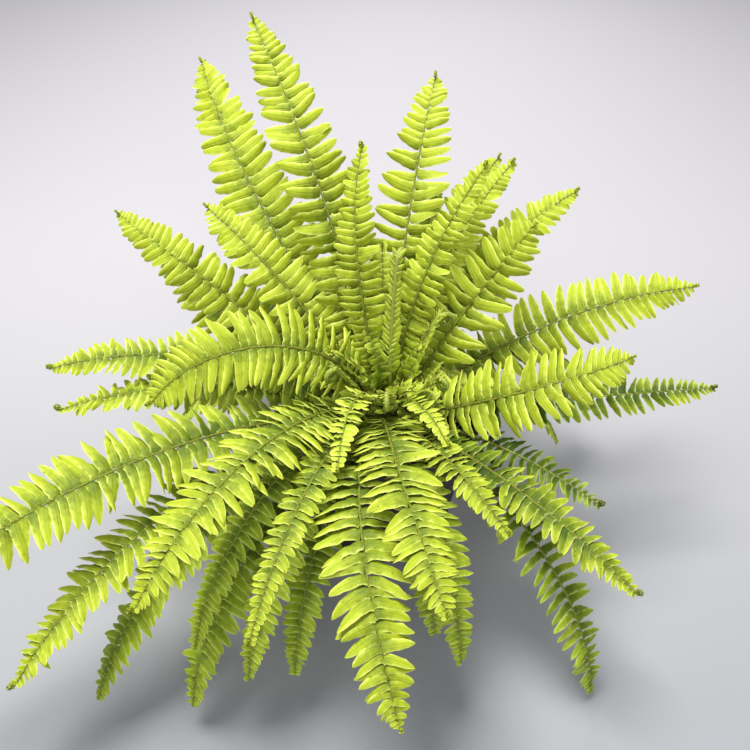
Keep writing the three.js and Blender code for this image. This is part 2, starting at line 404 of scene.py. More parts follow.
leafNotes = ("along", "reach", "across", "run", "tone", "under", "margin")
leafColours = {
    # deep is near the rib, a deeper green with painted shade in it; fresh the blade, pale its margins
    # and tip
    "frond_leaf": {
        "deep": (0.075, 0.135, 0.003), "fresh": (0.43, 0.525, 0.02), "pale": (0.75, 0.82, 0.17),
    },
    "old_frond_leaf": {
        "deep": (0.075, 0.135, 0.003), "fresh": (0.37, 0.48, 0.02), "pale": (0.67, 0.76, 0.15),
    },
    "young_frond_leaf": {
        "deep": (0.16, 0.26, 0.006), "fresh": (0.52, 0.63, 0.04), "pale": (0.82, 0.87, 0.24),
    },
}
leafFinish = {
    "roughness": 0.46,
    "glow": 0.15,  # how much light passes into the blade
    "glowDepth": 0.0006,
    "veinSpacing": 0.95,  # between side veins, in millimetres
    "veinLean": 2.4,  # how far a side vein climbs from midrib to margin, in millimetres
    "speck": (0.10, 0.07, 0.015),
    "paintedShade": (0.24, 0.34, 0.12),  # painted shade, laid over the blades that stand deep in the plant
}


def leafMaterial(name):
    colours = leafColours[name]
    paint = Paint(name)
    reach = paint.noted("reach")
    across = abs(paint.noted("across"))
    tone = paint.noted("tone")
    under = paint.noted("under")
    mottle = paint.noise(260.0, 4.0, 0.6)
    speckle = paint.noise(55.0, 2.0)
    climb = paint.noted("run") - across * leafFinish["veinLean"]
    veins = (climb * (2 * math.pi / leafFinish["veinSpacing"])).sine() * 0.5 + 0.5
    midrib = 1 - paint.span(across, 0.03, 0.16)
    patches = paint.span(mottle, 0.36, 0.64)
    # deep colour at leaflet bases and on low-tone blades: a deeper green, partly painted shade
    freshShare = paint.span(reach * 0.85 + patches * 0.18 + tone * 0.5, 0.24, 1.14)
    blade = paint.mix(freshShare, tint(colours["deep"]), tint(colours["fresh"]))
    paleShare = paint.span(across * 0.85 + reach * 0.28 + patches * 0.22, 0.70, 1.22)
    blade = paint.mix(paleShare * 0.8, blade, tint(colours["pale"]))
    blade = paint.mix(veins * 0.09, blade, tint(colours["pale"]))
    blade = paint.mix(midrib * 0.20, blade, tint([0.8 * c for c in colours["deep"]]))
    rim = paint.span(across, 0.84, 0.97) * paint.span(reach, 0.03, 0.15)
    blade = paint.mix(rim * 0.45, blade, tint([1.1 * c for c in colours["pale"]]))
    dots = (1 - paint.span(paint.cells(230.0), 0.06, 0.12)) * paint.span(speckle, 0.46, 0.56)
    blade = paint.mix(dots * 0.8, blade, tint(leafFinish["speck"]))
    # painted shade: blades with a low tone, deep in the plant and near a frond's foot, are multiplied
    # darker
    paintedShade = paint.mix(paint.span(tone, -0.30, 0.65), tint(leafFinish["paintedShade"]), white)
    blade = paint.mix(1.0, blade, paintedShade, "MULTIPLY")
    blade = paint.mix(under * 0.35, blade, tint([0.75 * c for c in colours["pale"]]))
    relief = veins * 0.25 + mottle * 0.6 - midrib * 0.7
    inputs = {
        "Base Color": blade,
        "Roughness": leafFinish["roughness"] + mottle * 0.12,
        "Specular IOR Level": 0.22,
        "Subsurface Weight": leafFinish["glow"],
        "Subsurface Radius": (1.0, 0.9, 0.25),
        "Subsurface Scale": leafFinish["glowDepth"],
        "Normal": paint.bump(relief, 0.42, 0.0005),
    }
    return paint.finish(inputs)


stalkFinish = {"foot": (0.11, 0.105, 0.02), "rib": (0.23, 0.27, 0.025), "fleck": (0.08, 0.04, 0.012)}
scaleFinish = {"dark": (0.16, 0.075, 0.025), "light": (0.42, 0.27, 0.12)}


def stalkMaterial():
    paint = Paint("stalk")
    along = paint.noted("along")
    streaks = paint.noise(420.0, 4.0, 0.65)
    flecks = paint.span(paint.noise(1100.0, 2.0), 0.54, 0.62)
    climb = paint.span(along + streaks * 0.3, 0.05, 0.75)
    colour = paint.mix(climb, tint(stalkFinish["foot"]), tint(stalkFinish["rib"]))
    colour = paint.mix(flecks * 0.75, colour, tint(stalkFinish["fleck"]))
    inputs = {
        "Base Color": colour,
        "Roughness": 0.5 + streaks * 0.2,
        "Specular IOR Level": 0.2,
        "Subsurface Weight": 0.1,
        "Subsurface Scale": 0.001,
        "Normal": paint.bump(streaks, 0.4, 0.0003),
    }
    return paint.finish(inputs)


def scaleMaterial():
    paint = Paint("papery_scale")
    streaks = paint.noise(900.0, 3.0)
    colour = paint.mix(streaks, tint(scaleFinish["dark"]), tint(scaleFinish["light"]))
    inputs = {
        "Base Color": colour,
        "Roughness": 0.75 + streaks * 0.15,
        "Normal": paint.bump(streaks, 0.3, 0.0003),
    }
    return paint.finish(inputs)


leafMaterials = {name: leafMaterial(name) for name in leafColours}
stalkPaint = stalkMaterial()
scalePaint = scaleMaterial()
print("leaf, stalk and scale materials are made")


leaflet = {
    "taper": 0.10,  # how much narrower it gets before its tip
    "ear": 0.34,  # the lobe over the rib, on the side towards the frond's tip
    "earMiddle": 0.07,
    "earLength": 0.055,
    "teeth": 0.035,  # how far every other row stands out
    "thickness": 0.30 * mm,
    "groove": 0.05,  # the midrib's depth, as a share of the half width
    "waves": 2.4,  # along either margin
    "bulge": 0.07,  # how far its halves stand up beside the midrib
    "sickle": 0.16,  # how far it bends towards the frond's tip, as a share of its length
    "wave": 0.14,  # how far its margins go up and down, as a share of its half width
    "spread": {  # how unlike each other leaflets are; twist and curl are in degrees
        "sickle": 0.06, "rise": 0.08, "droop": 0.09, "twist": 10, "curl": 20,
        "cup": 0.07, "wave": 0.07, "point": 0.06, "blunt": 0.25,
    },
}
halfway = 0.55  # where the column between midrib and margin runs
# a leaflet's rows from base to tip and its columns across; the last column is the underside's
fullPlan = {
    "rows": np.array([0.02, 0.07, 0.14, 0.25, 0.38, 0.52, 0.66, 0.79, 0.89, 0.965]),
    "columns": np.array([-1.0, -halfway, 0.0, halfway, 1.0, 0.0]),
}
smallPlan = {
    "rows": np.array([0.03, 0.12, 0.30, 0.50, 0.70, 0.86, 0.96]),
    "columns": np.array([-1.0, 0.0, 1.0, 0.0]),
}


def leafletFaces(plan):
    # quads and triangles of one leaflet; point 0 is its base and the last point its tip
    rows, across = len(plan["rows"]), len(plan["columns"])
    at = lambda i, c: 1 + i * across + c
    base, tip, under = 0, 1 + rows * across, across - 1
    edge = under - 1
    quads, ends = [], []
    for i in range(rows - 1):
        for c in range(edge):
            quads.append((at(i, c), at(i + 1, c), at(i + 1, c + 1), at(i, c + 1)))
        quads.append((at(i, 0), at(i, under), at(i + 1, under), at(i + 1, 0)))
        quads.append((at(i, under), at(i, edge), at(i + 1, edge), at(i + 1, under)))
    last = rows - 1
    for c in range(edge):
        ends.append((base, at(0, c), at(0, c + 1)))
        ends.append((tip, at(last, c + 1), at(last, c)))
    ends += [(base, at(0, under), at(0, 0)), (base, at(0, edge), at(0, under))]
    ends += [(tip, at(last, 0), at(last, under)), (tip, at(last, under), at(last, edge))]
    return np.array(quads), np.array(ends)


for plan in (fullPlan, smallPlan):
    plan["quads"], plan["ends"] = leafletFaces(plan)


def leafletPoints(plan, start, out, fore, up, length, width, bend, dice):
    # points of many leaflets at once, and what is noted of each point; bend is evenBend's
    count, rows, columns = len(start), len(plan["rows"]), len(plan["columns"])
    reach = plan["rows"][None, :]
    across = plan["columns"][None, None, :]
    point, blunt = bend["point"][:, None], bend["blunt"][:, None]
    body = (1 - leaflet["taper"] * reach) * (1 - reach**blunt) ** point
    body = body * np.minimum(1, (reach + 0.02) / 0.06) ** 0.4  # rounded where it joins the rib
    teeth = leaflet["teeth"] * np.where(np.arange(rows) % 2, 1, -1)[None, :]
    ragged = teeth * dice.uniform(0.4, 1.6, (count, rows))
    ear = leaflet["ear"] * np.exp(-(((reach - leaflet["earMiddle"]) / leaflet["earLength"]) ** 2))
    foreHalf = body * (1 + ragged) + ear * np.minimum(1, reach / 0.03)
    backHalf = body * (1 + ragged[:, ::-1]) * (1 - 0.15 * np.exp(-(((reach - 0.02) / 0.06) ** 2)))
    half = np.where(across > 0, foreHalf[..., None], backHalf[..., None]) * across
    half = half * (width / 2)[:, None, None]

    phase = dice.uniform(0, 2 * math.pi, (count, 2))
    wave = lambda side: np.sin(reach * leaflet["waves"] * 2 * math.pi + phase[:, side, None])
    lift = np.where(across > 0, wave(0)[..., None], wave(1)[..., None])
    lift = lift * bend["wave"][:, None, None] - bend["cup"][:, None, None]
    bulge = leaflet["bulge"] + 0.25 * bend["cup"][:, None, None]
    bulge = np.where(np.abs(across) == halfway, bulge, 0)
    height = lift * np.abs(across) - leaflet["groove"] * (1 - np.abs(across)) + bulge
    height = height * body[..., None] * (width / 2)[:, None, None]
    height[..., -1] -= leaflet["thickness"] * np.sqrt(body)

    def middle(share):
        sickle, droop = bend["sickle"][:, None], bend["droop"][:, None]
        aside = (length[:, None] * sickle * share**2)[..., None] * fore[:, None]
        onward = (length[:, None] * (share - 0.5 * sickle**2 * share**3))[..., None] * out[:, None]
        rise = bend["rise"][:, None] * share - droop * share**2
        return start[:, None] + onward + aside + (length[:, None] * rise)[..., None] * up[:, None]

    shares = np.broadcast_to(reach, (count, reach.shape[1]))
    along = unit(middle(shares + 0.01) - middle(shares - 0.01))
    turn = (bend["twist"][:, None] + bend["curl"][:, None] * shares)[..., None]
    flat = unit(fore[:, None] - (fore[:, None] * along).sum(-1, keepdims=True) * along)
    face = np.cross(along, flat) * bend["hand"][:, None, None]
    crosswise = np.cos(turn) * flat + np.sin(turn) * face
    normal = -np.sin(turn) * flat + np.cos(turn) * face
    rings = middle(shares)[:, :, None] + crosswise[:, :, None] * half[..., None]
    rings = rings + normal[:, :, None] * height[..., None]
    base = middle(np.zeros((count, 1)))
    tip = middle(np.ones((count, 1)))
    points = np.concatenate([base, rings.reshape(count, -1, 3), tip], axis=1)

    noteReach = np.concatenate([[0], np.repeat(plan["rows"], columns), [1]])
    noteAcross = np.concatenate([[0], np.tile(plan["columns"], rows), [1]])
    noteUnder = np.concatenate([[0], np.tile([0.0] * (columns - 1) + [1.0], rows), [0]])
    notes = {
        "reach": np.tile(noteReach, count),
        "across": np.tile(noteAcross, count),
        "under": np.tile(noteUnder, count),
        "margin": np.tile((np.abs(noteAcross) == 1) | (noteReach == 0), count),
        "run": (noteReach[None] * length[:, None] / mm).ravel(),
    }
    return points, notes


def evenBend(count, hand, look, dice):
    # how each of many leaflets is bent; no two quite alike
    vary = lambda name, middle: dice.normal(middle, leaflet["spread"][name], count)
    return {
        "hand": np.full(count, float(hand)),
        "sickle": vary("sickle", leaflet["sickle"]),
        "rise": vary("rise", look["rise"]),
        "droop": vary("droop", look["droop"]),
        "twist": np.radians(vary("twist", look["twist"])),
        "curl": np.radians(vary("curl", 0)),
        "cup": vary("cup", look["cup"]),
        "wave": np.abs(vary("wave", leaflet["wave"])),
        "point": vary("point", look["point"]),
        "blunt": vary("blunt", look["blunt"]),
    }


def addLeaflets(shape, plan, start, out, fore, up, length, width, bend, dice, **notes):
    count = len(start)
    points, own = leafletPoints(plan, start, out, fore, up, length, width, bend, dice)
    points[..., 2] = np.maximum(points[..., 2], floorClearance)
    each = points.shape[1]
    quads = plan["quads"][None] + np.arange(count)[:, None, None] * each
    ends = plan["ends"][None] + np.arange(count)[:, None, None] * each
    flipped = bend["hand"] < 0
    quads[flipped] = quads[flipped][:, :, ::-1]
    ends[flipped] = ends[flipped][:, :, ::-1]
    own.update({name: np.repeat(values, each) for name, values in notes.items()})
    shape.add(points, [quads.reshape(-1, 4), ends.reshape(-1, 3)], 0, **own)


frondHabits = {
    # spacing is a share of a leaflet's length, and width of the spacing; cup, rise and droop are how
    # far it folds, climbs and hangs; twist is in degrees and curl the rolled tip's radius in
    # millimetres; a low point and a high blunt make leaflets rounder; tone is how pale they are, and a
    # low tone also lays painted shade over them
    "arching": {"spacing": 0.17, "width": 1.18, "cup": 0.38, "rise": 0.16, "droop": 0.26, "twist": 18,
                "point": 0.48, "blunt": 4.4, "tone": 0.62, "curl": 2.2, "slot": "frond_leaf"},
    "young": {"spacing": 0.26, "width": 1.30, "cup": 0.34, "rise": 0.30, "droop": 0.20, "twist": 14,
              "point": 0.60, "blunt": 3.0, "tone": 0.85, "curl": 1.8, "slot": "young_frond_leaf"},
    "upright": {"spacing": 0.21, "width": 1.16, "cup": 0.30, "rise": 0.16, "droop": 0.24, "twist": 16,
                "point": 0.46, "blunt": 4.6, "tone": 1.0, "curl": 2.0, "slot": "frond_leaf"},
    "spreading": {"spacing": 0.20, "width": 1.14, "cup": 0.26, "rise": 0.10, "droop": 0.22, "twist": 16,
                  "point": 0.66, "blunt": 4.0, "tone": 0.50, "curl": 2.0, "slot": "frond_leaf"},
    "hanging": {"spacing": 0.20, "width": 1.12, "cup": 0.24, "rise": 0.06, "droop": 0.20, "twist": 14,
                "point": 0.66, "blunt": 3.8, "tone": 0.50, "curl": 0, "slot": "old_frond_leaf"},
}
frondQuirks = {  # where a frond differs from its habit
    "frond_arching_01": {"spacing": 0.12, "width": 1.12, "cup": 0.55, "twist": 8, "tone": 0.76},
    "frond_arching_02": {"spacing": 0.14, "width": 1.20, "point": 0.72, "blunt": 3.7, "tone": 0.66},
    "frond_arching_03": {"width": 1.22, "point": 0.68, "blunt": 4.0, "tone": 0.66},
    "frond_arching_04": {"spacing": 0.16, "width": 1.20, "point": 0.68, "blunt": 4.0, "tone": 0.52},
    "frond_arching_05": {"spacing": 0.235, "width": 1.10, "tone": 0.96},
    "frond_arching_06": {"spacing": 0.225, "width": 1.10, "tone": 0.86},
    "frond_arching_07": {"spacing": 0.23, "width": 0.98, "tone": 1.05},
    "frond_arching_08": {"spacing": 0.20, "width": 1.12, "tone": 1.0},
    "frond_arching_09": {"spacing": 0.155, "tone": 0.92},
    "frond_arching_10": {
        "spacing": 0.155, "width": 1.26, "twist": 10, "point": 0.72, "blunt": 3.8, "tone": 0.56,
    },
    "frond_upright_04": {"spacing": 0.28, "width": 1.05, "twist": 32},
    "frond_spreading_01": {"spacing": 0.28, "width": 1.10, "twist": 36},
    "frond_spreading_04": {"spacing": 0.16, "tone": 0.54},
    "frond_spreading_06": {"tone": 0.22},
    "frond_spreading_07": {"width": 0.85, "tone": -0.10},
    "frond_spreading_08": {"spacing": 0.27, "width": 0.84, "tone": 0.0, "twist": 26},
    "frond_spreading_09": {"spacing": 0.22, "width": 0.94, "tone": 0.76, "point": 0.52, "blunt": 3.8},
    "frond_hanging_08": {"spacing": 0.26, "width": 0.74, "tone": 0.42},
}
frond = {
    "firstLeaflet": 0.03,  # as a share of the frond
    "extraSpacing": 1.8 * mm,
    "leastLeaflet": 3.6 * mm,
    "baseShare": 0.48,  # the lowest leaflets beside the longest
    "baseGrowth": 2.6,  # how fast they lengthen up the frond
    "baseEnd": 0.25,  # the share of the frond where they follow its outline
    "stalkFoot": 1.25 * mm,
    "stalkTip": 0.38 * mm,
    "tipBuds": 9,  # rolled leaflets on either side of the curled tip
    "tipSteps": 19,
    "tipTurn": 0.42,  # how far each step of the curled tip turns, in radians
    "tipBudOffset": 0.45 * mm,
    "stalkSides": 8,
    "stalkSteps": 70,
    "sunkFoot": 3 * mm,  # how far its foot goes into the crown
    "openAngle": 92,  # leaflets to rib, low on the frond
    "tipAngle": 66,
    "angleSpread": 6,
    "widthSpread": (0.92, 1.12),
    "scales": 46,
    "scaleLengths": (1.2 * mm, 3.2 * mm),
    "scaleWidths": (0.25 * mm, 0.6 * mm),
    "footPaintedShade": 0.8,  # how much more painted shade its foot gets than its tip
    "middleShade": 0.45,  # where along it the shade is its habit's
    "toneSpread": 0.11,
    "smallLeaflet": 9 * mm,  # shorter ones have fewer rows and columns
}


def frondCurve(name):
    # the bar's middle, up and half width, from the crown to the tip
    middles, ups, halves = [], [], []
    for ring in ringsOf(name, crownMiddle):
        gaps = np.linalg.norm(ring[:, None] - ring[None], axis=-1)
        a, b = np.unravel_index(gaps.argmax(), gaps.shape)
        others = [i for i in range(4) if i not in (a, b)]
        middle = (ring[a] + ring[b]) / 2
        others.sort(key=lambda i: np.linalg.norm(ring[i] - middle))
        middles.append(middle)
        ups.append(unit(ring[others[1]] - ring[others[0]]))
        halves.append(gaps[a, b] / 2)
    return {"middle": np.array(middles), "up": np.array(ups), "half": np.array(halves)}


def leafletShares(curve, look, length, dice):
    # where leaflets stand along the frond, on one side
    steps = np.linspace(0, 1, len(curve["half"]))
    peak = curve["half"].max()
    shares, share = [], frond["firstLeaflet"] + dice.uniform(0, 0.01)
    while share < 0.992:
        shares.append(share)
        half = leafletReach(share, steps, curve["half"], peak)
        gap = look["spacing"] * half + frond["extraSpacing"]
        share += gap * dice.uniform(0.92, 1.08) / length
    return np.array(shares)


def leafletReach(share, steps, halves, peak):
    # a leaflet's length at a share of the frond; low ones are short
    half = np.interp(share, steps, halves)
    low = peak * (frond["baseShare"] + (share - frond["firstLeaflet"]) * frond["baseGrowth"])
    low = np.maximum(np.minimum(low, peak), half)
    return np.maximum(np.where(share < frond["baseEnd"], low, half), frond["leastLeaflet"])


def tipCurl(curve, radius):
    # the young tip, still rolled up over the frond's upper side
    steps = np.linspace(0, 1, frond["tipSteps"] + 1)[1:]
    along = unit(curve["middle"][-1] - curve["middle"][-2])
    up = curve["up"][-1]
    place, turn, points, ups = curve["middle"][-1], 0.0, [], []
    for share in steps:
        turn += frond["tipTurn"]
        heading = math.cos(turn) * along + math.sin(turn) * up
        place = place + heading * radius * (1.25 - share) * frond["tipTurn"]
        points.append(place)
        ups.append(-math.sin(turn) * along + math.cos(turn) * up)
    return np.array(points), np.array(ups)


def addRow(shape, curve, hand, shares, size, radius, look, tone, dice):
    # one side's leaflets; their places are shares of the curve
    count = len(shares)
    middles = smoothAt(curve["middle"], shares)
    ups = unit(smoothAt(curve["up"], shares))
    alongs = unit(smoothAt(curve["middle"], shares + 0.005) - smoothAt(curve["middle"], shares - 0.005))
    sides = unit(np.cross(ups, alongs)) * hand
    ups = np.cross(alongs, sides) * hand
    angle = frond["openAngle"] + (frond["tipAngle"] - frond["openAngle"]) * shares**1.6
    angle = np.radians(angle + dice.normal(0, frond["angleSpread"], count))[:, None]
    out = np.sin(angle) * sides + np.cos(angle) * alongs
    fore = -np.cos(angle) * sides + np.sin(angle) * alongs
    spacing = look["spacing"] * size + frond["extraSpacing"]
    width = spacing * look["width"] * dice.uniform(*frond["widthSpread"], count)
    start = middles + sides * radius[:, None] * 0.5 + ups * radius[:, None] * 0.1
    bend = evenBend(count, -hand, look, dice)
    tonesAndShades = dice.normal(tone, frond["toneSpread"], count)
    # painted shade: the tone drops towards the frond's foot, deep in the plant
    tonesAndShades = tonesAndShades + frond["footPaintedShade"] * (shares - frond["middleShade"])
    large = size >= frond["smallLeaflet"]
    for plan, chosen in ((fullPlan, large), (smallPlan, ~large)):
        if chosen.any():
            placed = [values[chosen] for values in (start, out, fore, ups, size, width)]
            bent = {name: values[chosen] for name, values in bend.items()}
            addLeaflets(shape, plan, *placed, bent, dice, tone=tonesAndShades[chosen], along=shares[chosen])


def addRib(shape, curve, look, tone, dice):
    # the stalk and rib, from inside the crown to the rolled tip with its buds
    shares = np.linspace(0, 1, frond["stalkSteps"])
    middles, ups = smoothAt(curve["middle"], shares), unit(smoothAt(curve["up"], shares))
    foot = middles[0] - unit(middles[1] - middles[0]) * frond["sunkFoot"]
    radii = frond["stalkFoot"] + (frond["stalkTip"] - frond["stalkFoot"]) * shares**0.7
    middles = np.concatenate([foot[None], middles])
    ups = np.concatenate([ups[:1], ups])
    radii = np.concatenate([[frond["stalkFoot"] * 1.5], radii])
    alongNote = np.concatenate([[0], shares])
    if look["curl"]:
        curled, curledUps = tipCurl(curve, look["curl"] * mm)
        middles = np.concatenate([middles, curled])
        ups = np.concatenate([ups, curledUps])
        curledRadii = np.linspace(frond["stalkTip"] * 1.5, frond["stalkTip"], len(curled))
        radii = np.concatenate([radii, curledRadii])
        alongNote = np.concatenate([alongNote, np.ones(len(curled))])
    points, faces = tube(middles, ups, radii, frond["stalkSides"])
    ringNotes = np.repeat(alongNote, frond["stalkSides"])
    shape.add(points, faces, 1, along=np.concatenate([ringNotes, [0, 1]]))
    if look["curl"]:
        spots = smoothAt(curled, np.linspace(0, 1, frond["tipBuds"]))
        aside = unit(np.cross(curve["up"][-1], curve["middle"][-1] - curve["middle"][-2]))
        for hand in (1, -1):
            sizes = np.linspace(0.75, 0.4, frond["tipBuds"]) * mm
            buds, faces = grains(spots + aside * hand * frond["tipBudOffset"], sizes, dice)
            shape.add(buds, faces, 0, tone=tone, reach=0.7, across=0.5)


def addScales(shape, curve, dice):
    # papery scales, most at the foot
    count = frond["scales"]
    where = dice.uniform(0, 1, count) ** 2.2 * 0.6
    middles = smoothAt(curve["middle"], where)
    ups = unit(smoothAt(curve["up"], where))
    alongs = unit(smoothAt(curve["middle"], where + 0.01) - smoothAt(curve["middle"], where - 0.01))
    turn = dice.uniform(0, 2 * math.pi, count)[:, None]
    outward = np.cos(turn) * np.cross(ups, alongs) + np.sin(turn) * ups
    radius = np.interp(where, [0, 1], [frond["stalkFoot"], frond["stalkTip"]])[:, None] * 0.85
    aims = unit(outward * 0.8 + alongs * dice.uniform(-0.2, 1.0, (count, 1)))
    faceUps = unit(np.cross(aims, np.cross(outward, alongs)))
    lengths = dice.uniform(*frond["scaleLengths"], count)
    widths = dice.uniform(*frond["scaleWidths"], count)
    points, faces = flakes(middles + outward * radius, aims, faceUps, lengths, widths)
    shape.add(points, faces, 2)


def growFrond(name, habit, seed):
    look = {**frondHabits[habit], **frondQuirks.get(name, {})}
    dice = np.random.RandomState(seed)
    curve = frondCurve(name)
    length = np.linalg.norm(np.diff(curve["middle"], axis=0), axis=1).sum()
    steps = np.linspace(0, 1, len(curve["half"]))
    peak = curve["half"].max()
    tone = look["tone"] + dice.uniform(-0.08, 0.08)
    shape = Shape(leafNotes)
    addRib(shape, curve, look, tone, dice)

    # leaflets on either side, alternating
    for hand in (1, -1):
        shares = leafletShares(curve, look, length, dice)
        if hand < 0:
            shares = shares + 0.5 * np.gradient(shares)
        shares = np.minimum(shares, 0.998)
        reach = leafletReach(shares, steps, curve["half"], peak)
        size = reach * dice.uniform(0.90, 1.05, len(shares))
        radius = np.interp(shares, [0, 1], [frond["stalkFoot"], frond["stalkTip"]])
        addRow(shape, curve, hand, shares, size, radius, look, tone, dice)
    addScales(shape, curve, dice)

    materials = [leafMaterials[look["slot"]], stalkPaint, scalePaint]
    made = shape.piece(name + "_foliage", materials, "margin")
    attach(made, "root")
    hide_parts(name)


frondNames = sorted(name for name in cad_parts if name.startswith("frond_"))
for seed, name in enumerate(frondNames):
    growFrond(name, name.split("_")[1], 1000 + seed)
print("fronds are grown:", len(frondNames))


crozier = {
    "sides": 10,
    "steps": 90,
    "swell": 1.12,  # over the plain bar's thickness, with its down
    "buds": 22,  # pairs of rolled leaflets along the coil
    "coilStart": 0.26,  # as a share of the bar's rings
    "leaflets": 26,  # pairs up the stalk
    "lowLeaflet": 13 * mm,
    "highLeaflet": 6 * mm,
    "leafletWidth": 0.42,  # beside its length
    "hairs": 170,
    "hairLengths": (0.8 * mm, 2.0 * mm),
    "hairWidths": (0.15 * mm, 0.4 * mm),
    "green": (0.24, 0.31, 0.03),
    "paleGreen": (0.50, 0.58, 0.09),
    "down": (0.46, 0.44, 0.22),
}


def crozierMaterial():
    paint = Paint("crozier_stalk")
    streaks = paint.noise(700.0, 4.0, 0.6)
    down = paint.span(paint.noise(2200.0, 2.0), 0.45, 0.62)
    colour = paint.mix(streaks, tint(crozier["green"]), tint(crozier["paleGreen"]))
    colour = paint.mix(down * 0.3, colour, tint(crozier["down"]))
    inputs = {
        "Base Color": colour,
        "Roughness": 0.6 + streaks * 0.2,
        "Subsurface Weight": 0.15,
        "Subsurface Scale": 0.001,
        "Normal": paint.bump(streaks + down * 0.5, 0.5, 0.0004),
    }
    return paint.finish(inputs)


crozierPaint = crozierMaterial()


def addHalfFolded(shape, knots, binormal, hand, dice):
    # one side's young leaflets, still half folded against the stalk
    where = np.linspace(0.03, crozier["coilStart"], crozier["leaflets"]) + (0.006 if hand < 0 else 0)
    count = len(where)
    starts = smoothAt(knots, where)
    heading = unit(smoothAt(knots, where + 0.01) - smoothAt(knots, where - 0.01))
    across = np.repeat(binormal[None] * hand, count, 0)
    out = unit(across * 0.75 + heading * 0.8)
    fore = unit(heading - (heading * out).sum(1, keepdims=True) * out)
    facing = np.cross(heading, across) * hand
    size = np.interp(where, [0, crozier["coilStart"]], [crozier["lowLeaflet"], crozier["highLeaflet"]])
    size = size * dice.uniform(0.85, 1.15, count)
    width = size * crozier["leafletWidth"]
    bend = evenBend(count, -hand, frondHabits["young"], dice)
    tonesAndShades = np.full(count, frondHabits["young"]["tone"])
    addLeaflets(
        shape, fullPlan, starts, out, fore, facing, size, width, bend, dice, tone=tonesAndShades, along=where
    )


def addDown(shape, knots, radii, binormal, dice):
    # down along the stalk and over the coil
    count = crozier["hairs"]
    where = dice.uniform(0, 1, count)
    middles = smoothAt(knots, where)
    alongs = unit(smoothAt(knots, where + 0.01) - smoothAt(knots, where - 0.01))
    turn = dice.uniform(0, 2 * math.pi, count)[:, None]
    outward = np.cos(turn) * binormal + np.sin(turn) * unit(np.cross(alongs, binormal))
    radius = np.interp(where, np.linspace(0, 1, len(knots)), radii)[:, None]
    aims = unit(outward + alongs * dice.uniform(-0.6, 1.2, (count, 1)))
    faceUps = unit(np.cross(aims, np.cross(outward, alongs)))
    lengths = dice.uniform(*crozier["hairLengths"], count)
    widths = dice.uniform(*crozier["hairWidths"], count)
    points, faces = flakes(middles + outward * radius * 0.95, aims, faceUps, lengths, widths)
    shape.add(points, faces, 2)


def growCrozier(name, seed):
    dice = np.random.RandomState(seed)
    rings = ringsOf(name, crownMiddle)
    knots = np.array([ring.mean(axis=0) for ring in rings])
    radii = np.array([np.linalg.norm(ring - ring.mean(axis=0), axis=1).mean() for ring in rings])
    steps = np.linspace(0, 1, len(knots))
    shares = np.linspace(0, 1, crozier["steps"])
    middles = smoothAt(knots, shares)
    thick = np.interp(shares, steps, radii) * crozier["swell"]
    # across the coil's plane, which two of its chords give
    binormal = unit(np.cross(knots[8] - knots[6], knots[12] - knots[10]))
    alongs = unit(np.gradient(middles, axis=0))
    ups = unit(np.cross(alongs, binormal))
    foot = middles[:1] - alongs[:1] * frond["sunkFoot"]
    middles = np.concatenate([foot, middles])
    ups = np.concatenate([ups[:1], ups])
    thick = np.concatenate([thick[:1] * 1.3, thick])
    shape = Shape(leafNotes)
    points, faces = tube(middles, ups, thick, crozier["sides"])
    shape.add(points, faces, 1)

    for hand in (1, -1):
        # rolled leaflets in pairs on the coil's flanks
        where = np.linspace(crozier["coilStart"], 0.97, crozier["buds"])
        radius = np.interp(where, steps, radii)
        places = smoothAt(knots, where) + binormal * (hand * radius * 1.05)[:, None]
        points, faces = grains(places, radius * 0.85, dice)
        shape.add(points, faces, 0, tone=0.6)
        addHalfFolded(shape, knots, binormal, hand, dice)
    addDown(shape, knots, radii, binormal, dice)

    materials = [leafMaterials["young_frond_leaf"], crozierPaint, scalePaint]
    made = shape.piece(name + "_fiddlehead", materials)
    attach(made, "root")
    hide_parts(name)


crozierNames = sorted(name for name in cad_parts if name.startswith("crozier_"))
for seed, name in enumerate(crozierNames):
    growCrozier(name, 2000 + seed)
print("croziers are rolled:", len(crozierNames))


crown = {
    "rings": 26,
    "segments": 84,
    "lump": 1.1 * mm,
    "inset": 0.6 * mm,  # keeps its lumps inside the plain dome
    "scales": 900,
    "scaleLengths": (2.5 * mm, 6.5 * mm),
    "scaleWidths": (0.4 * mm, 1.1 * mm),
    "stubs": 46,  # what is left of old stalks
    "stubLengths": (3 * mm, 8 * mm),
    "shoots": 110,  # small young leaves that stand between the fronds
    "shootLengths": (16 * mm, 50 * mm),
    "shootLeaflets": (5 * mm, 10 * mm),
    "shootStalk": 0.5 * mm,
    "shootSteps": 15,
    "shootRoll": (0.5, 2.6),  # how far it has rolled over at its tip, in radians
    "dark": (0.035, 0.030, 0.012),
    "light": (0.20, 0.15, 0.06),
    "moss": (0.08, 0.12, 0.02),
}


def crownMaterial():
    paint = Paint("rootstock")
    fibres = paint.noise(520.0, 5.0, 0.65)
    patches = paint.noise(90.0, 2.0)
    colour = paint.mix(fibres, tint(crown["dark"]), tint(crown["light"]))
    colour = paint.mix(paint.span(patches, 0.45, 0.65) * 0.7, colour, tint(crown["moss"]))
    inputs = {
        "Base Color": colour,
        "Roughness": 0.85 + fibres * 0.1,
        "Normal": paint.bump(fibres, 0.8, 0.0012),
    }
    return paint.finish(inputs)


def domePoints(distance, turn):
    # points of the crown's dome at a share of its radius
    height = crownHeight * np.sqrt(np.maximum(0, 1 - distance**2))
    flat = crownRadius * distance
    return crownFoot + np.stack([flat * np.cos(turn), flat * np.sin(turn), height], axis=-1)


def domeNormals(points):
    return unit((points - crownFoot) / np.array([crownRadius**2, crownRadius**2, crownHeight**2]))


